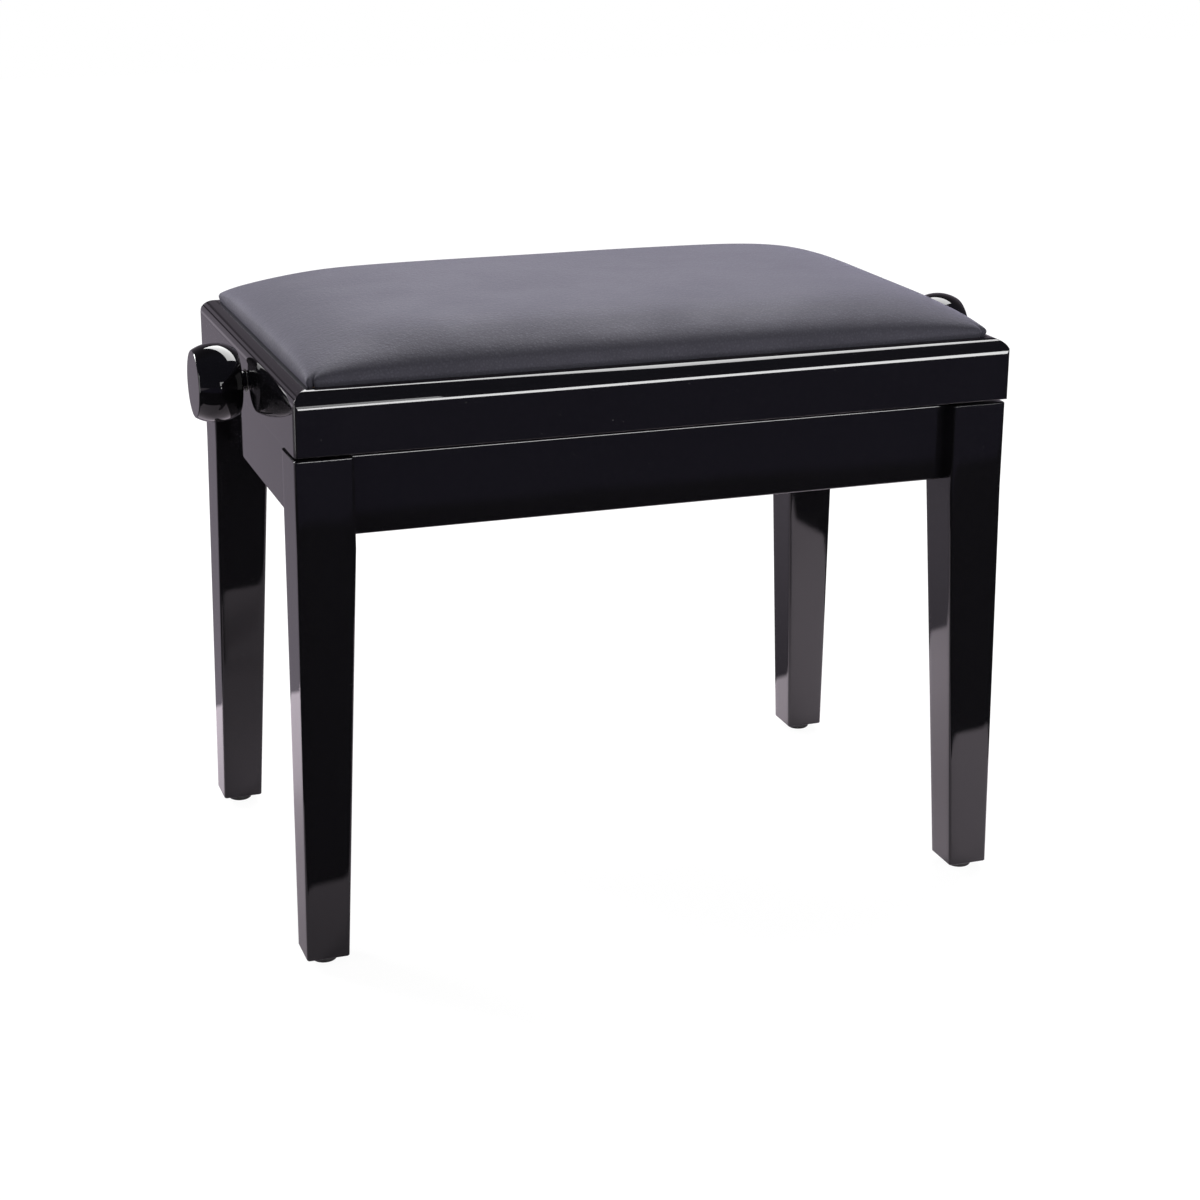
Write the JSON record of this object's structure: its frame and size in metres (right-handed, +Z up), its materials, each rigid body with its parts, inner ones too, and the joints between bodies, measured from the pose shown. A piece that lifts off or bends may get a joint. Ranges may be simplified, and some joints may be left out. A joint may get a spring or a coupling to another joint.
{
  "type": "piano bench",
  "caption": "Height-adjustable piano bench: crowned leatherette pad on a mitred gloss-black frame, tapered square legs, side knobs that drive a scissor lift.",
  "frame": {"origin": "on the floor under the middle of the seat", "axes": "+X along the seat's width to the right seen from the front, +Y to the back, +Z up"},
  "size_m": [0.629, 0.35, 0.4672],
  "materials": {
    "black_lacquer": "high-gloss black lacquer over wood",
    "leatherette": "fine-grained black leatherette, satin",
    "knob_gloss": "gloss black",
    "glide_plastic": "black plastic",
    "zinc_steel": "zinc-plated pressed steel",
    "bright_steel": "bright steel",
    "black_steel": "black powder-coated steel",
    "plywood": "raw plywood",
    "raw_wood": "raw hardwood",
    "foam": "open-cell foam",
    "nylon": "natural nylon",
    "brass_nut": "turned brass"
  },
  "bodies": {
    "base": {"leg_front_left": "black_lacquer", "leg_front_right": "black_lacquer", "leg_back_left": "black_lacquer", "leg_back_right": "black_lacquer", "foot_glide_front_left": "glide_plastic", "foot_glide_front_right": "glide_plastic", "foot_glide_back_left": "glide_plastic", "foot_glide_back_right": "glide_plastic", "corner_bracket_front_left": "zinc_steel", "corner_bracket_front_right": "zinc_steel", "corner_bracket_back_left": "zinc_steel", "corner_bracket_back_right": "zinc_steel", "apron_front": "black_lacquer", "apron_back": "black_lacquer", "apron_left": "black_lacquer", "apron_right": "black_lacquer", "lower_channel_front": "zinc_steel", "lower_channel_back": "zinc_steel", "hanger_bolts": "bright_steel", "hanger_nuts": "bright_steel", "bracket_screws": "bright_steel", "lower_channel_screws": "bright_steel", "lower_pivot_pins": "zinc_steel", "lower_pivot_clips": "bright_steel"},
    "seat": {"seat_rail_front": "black_lacquer", "seat_rail_back": "black_lacquer", "seat_rail_left": "black_lacquer", "seat_rail_right": "black_lacquer", "upper_channel_front": "zinc_steel", "upper_channel_back": "zinc_steel", "spindle_bushing_left": "nylon", "spindle_bushing_right": "nylon", "mitre_keys": "raw_wood", "seat_board": "plywood", "seat_foam": "foam", "seat_cover": "leatherette", "board_screws": "bright_steel", "upper_channel_screws": "bright_steel", "upper_pivot_pins": "zinc_steel", "upper_pivot_clips": "bright_steel"},
    "spindle_set": {"spindle": "bright_steel", "knob_left": "knob_gloss", "knob_right": "knob_gloss", "thrust_collar_left": "bright_steel", "thrust_collar_right": "bright_steel", "set_screws": "bright_steel"},
    "lift_arms": {"lift_arm_front": "black_steel", "lift_arm_back": "black_steel", "lift_arm_tie": "black_steel", "centre_bolts": "bright_steel", "centre_nuts": "bright_steel"},
    "cross_arms": {"cross_arm_front": "black_steel", "cross_arm_back": "black_steel", "cross_arm_tie": "black_steel", "lower_guide_bush_front": "nylon", "lower_guide_bush_back": "nylon"},
    "nut_carriage": {"nut_bar": "black_steel", "spindle_nut": "brass_nut", "upper_guide_bush_front": "nylon", "upper_guide_bush_back": "nylon"}
  },
  "joints": [
    {"name": "seat_lift", "type": "slide", "parent": "base", "child": "seat", "axis": [0, 0, 1], "range_m": [0, 0.1]},
    {"name": "spindle_turn", "type": "hinge", "parent": "seat", "child": "spindle_set", "pos_m": [0, -0.01, 0.407], "axis": [1, 0, 0], "range_deg": [0, 3618]},
    {"name": "lift_arm_swing", "type": "hinge", "parent": "base", "child": "lift_arms", "pos_m": [-0.2, 0, 0.3415], "axis": [0, -1, 0], "range_deg": [0, 14.92]},
    {"name": "cross_arm_swing", "type": "hinge", "parent": "seat", "child": "cross_arms", "pos_m": [-0.2, 0, 0.407], "axis": [0, 1, 0], "range_deg": [0, 14.92]},
    {"name": "nut_bar_swing", "type": "hinge", "parent": "lift_arms", "child": "nut_carriage", "pos_m": [0.1946, 0, 0.407], "axis": [0, 1, 0], "range_deg": [0, 14.92]}
  ],
  "couplings": [
    {"joint": "spindle_turn", "follows": "seat_lift", "rad_per_m": 631.3},
    {"joint": "lift_arm_swing", "follows": "seat_lift", "rad_per_m": 2.6025},
    {"joint": "cross_arm_swing", "follows": "seat_lift", "rad_per_m": 2.6025},
    {"joint": "nut_bar_swing", "follows": "seat_lift", "rad_per_m": 2.6025}
  ]
}
